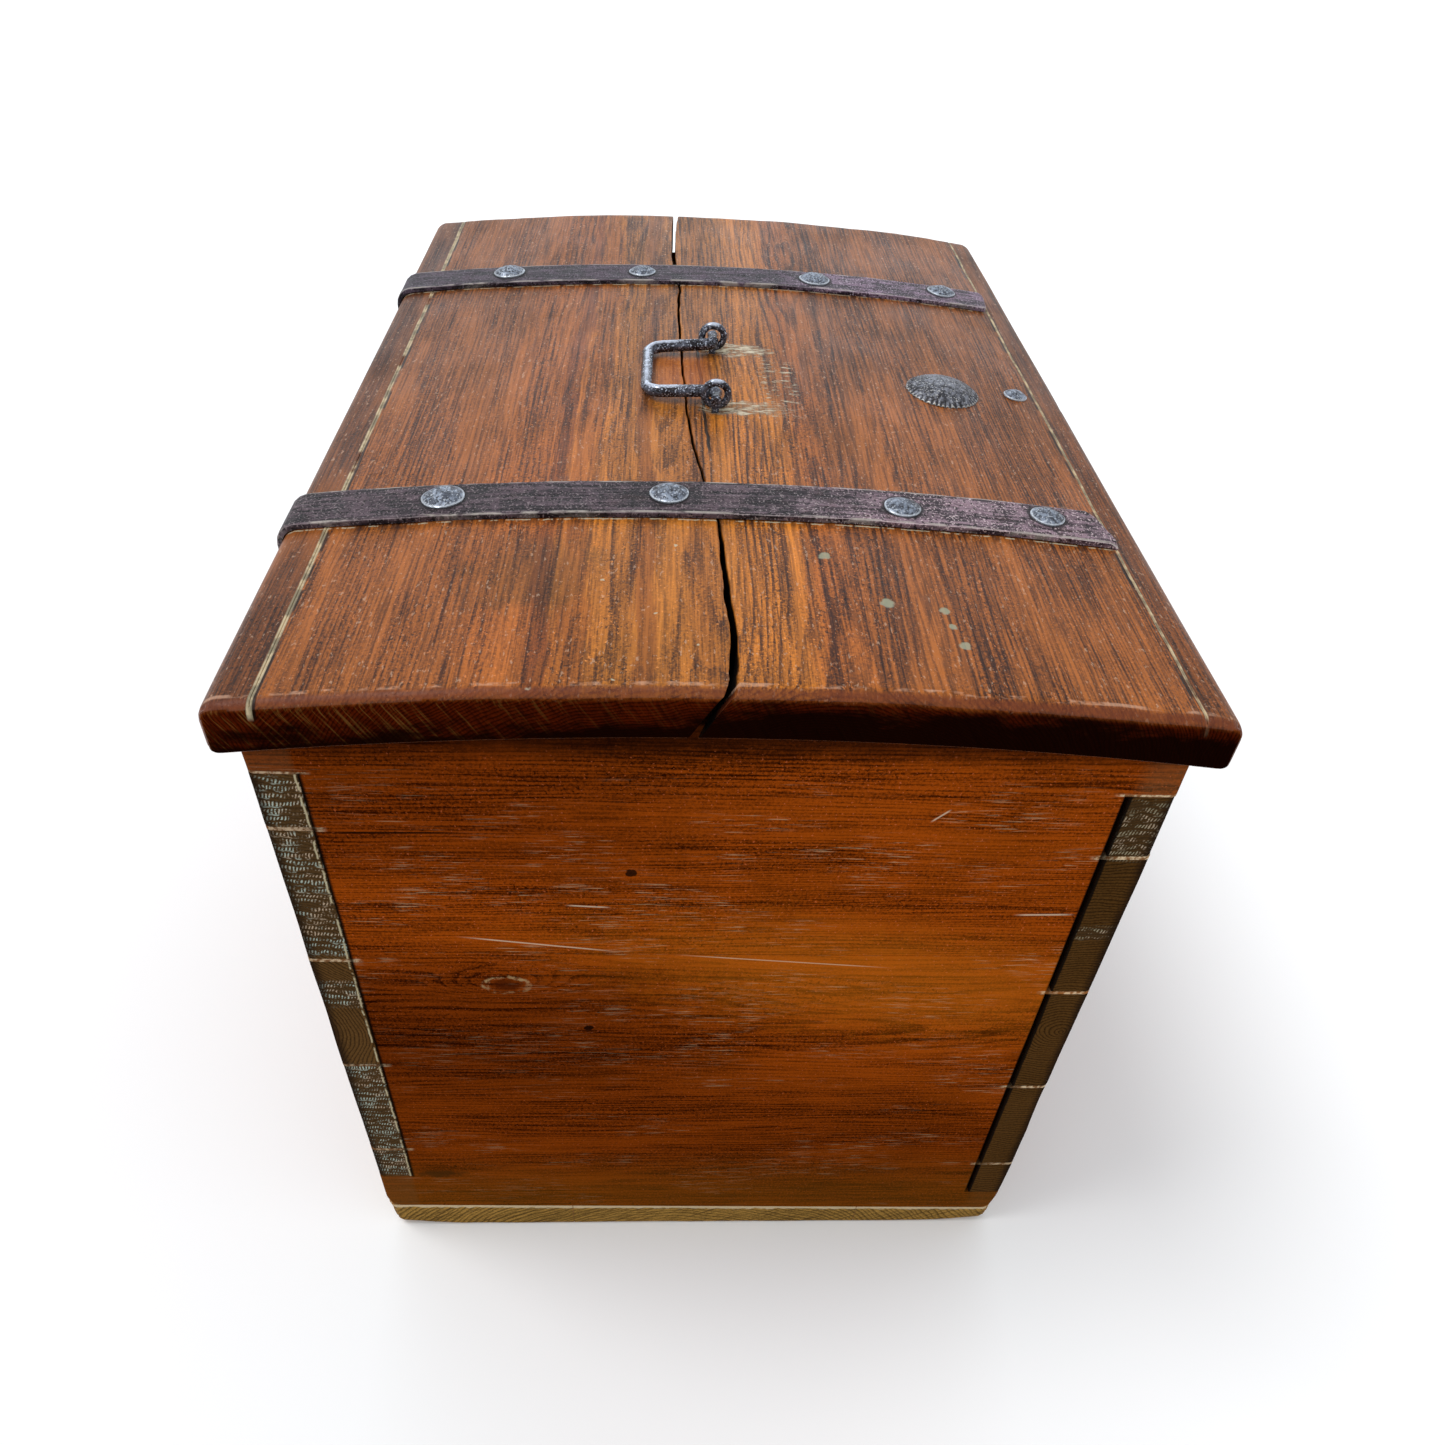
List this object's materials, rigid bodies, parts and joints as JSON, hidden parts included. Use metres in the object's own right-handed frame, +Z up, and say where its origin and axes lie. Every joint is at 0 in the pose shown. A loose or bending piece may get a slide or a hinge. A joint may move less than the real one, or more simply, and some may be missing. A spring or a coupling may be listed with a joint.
{
  "type": "wooden chest",
  "caption": "Low dome-topped pine chest with dovetailed corners, long iron strap hinges, a bail handle on the hinged lid and a lock inside the front wall.",
  "frame": {"origin": "centre of the flat underside of the floor boards", "axes": "+X along the chest to its right end as seen from the front, +Y to the hinged back, +Z up"},
  "size_m": [0.82, 0.595, 0.6685],
  "materials": {
    "end_pine": "worn red-brown stain and wax over planed pine",
    "wall_pine": "worn red-brown stain and wax over planed pine, end grain bare at the dovetails",
    "floor_pine": "bare grey-green weathered end grain",
    "lid_pine": "worn dark red-brown stain, rubbed through to amber in bands",
    "strap_iron": "hand-forged, dark purple-grey oxide, satin",
    "nail_iron": "hand-forged, rubbed blue-grey, pitted",
    "bail_iron": "forged rod, polished by handling",
    "boss_iron": "forged, fluted rim, brushed centre",
    "lock_iron": "forged plate, dull",
    "hidden_steel": "filed"
  },
  "bodies": {
    "box": {"end_left_lower": "end_pine", "end_left_upper": "end_pine", "end_right_lower": "end_pine", "end_right_upper": "end_pine", "front_board_lower": "wall_pine", "front_board_upper": "wall_pine", "back_board_lower": "wall_pine", "back_board_upper": "wall_pine", "floor_board_front": "floor_pine", "floor_board_middle": "floor_pine", "floor_board_back": "floor_pine", "hinge_leaf_left": "strap_iron", "hinge_leaf_right": "strap_iron", "leaf_nails_left": "nail_iron", "leaf_nails_right": "nail_iron", "floor_nails": "nail_iron", "escutcheon_nails": "nail_iron", "lock_case": "lock_iron", "escutcheon": "lock_iron", "hinge_pin_left": "hidden_steel", "hinge_pin_right": "hidden_steel", "lock_spring": "hidden_steel", "lock_nails": "hidden_steel"},
    "lid": {"lid_board_front": "lid_pine", "lid_board_back": "lid_pine", "lid_strip_front": "lid_pine", "lid_strip_back": "lid_pine", "strap_left": "strap_iron", "strap_right": "strap_iron", "strap_nails_left": "nail_iron", "strap_nails_right": "nail_iron", "handle_eye_left": "bail_iron", "handle_eye_right": "bail_iron", "lid_boss": "boss_iron", "lid_rivet": "nail_iron", "hasp_plate": "lock_iron", "hasp_staple": "lock_iron"},
    "bail": {"bail": "bail_iron"},
    "lock_bolt": {"lock_bolt": "hidden_steel"}
  },
  "joints": [
    {"name": "lid_hinge", "type": "hinge", "parent": "box", "child": "lid", "pos_m": [0, 0.2955, 0.588], "axis": [-1, 0, 0], "range_deg": [0, 105]},
    {"name": "bail_hinge", "type": "hinge", "parent": "lid", "child": "bail", "pos_m": [0, 0.001, 0.6544], "axis": [1, 0, 0], "range_deg": [0, 170]},
    {"name": "bolt_slide", "type": "slide", "parent": "box", "child": "lock_bolt", "axis": [1, 0, 0], "range_m": [0, 0.014]}
  ]
}
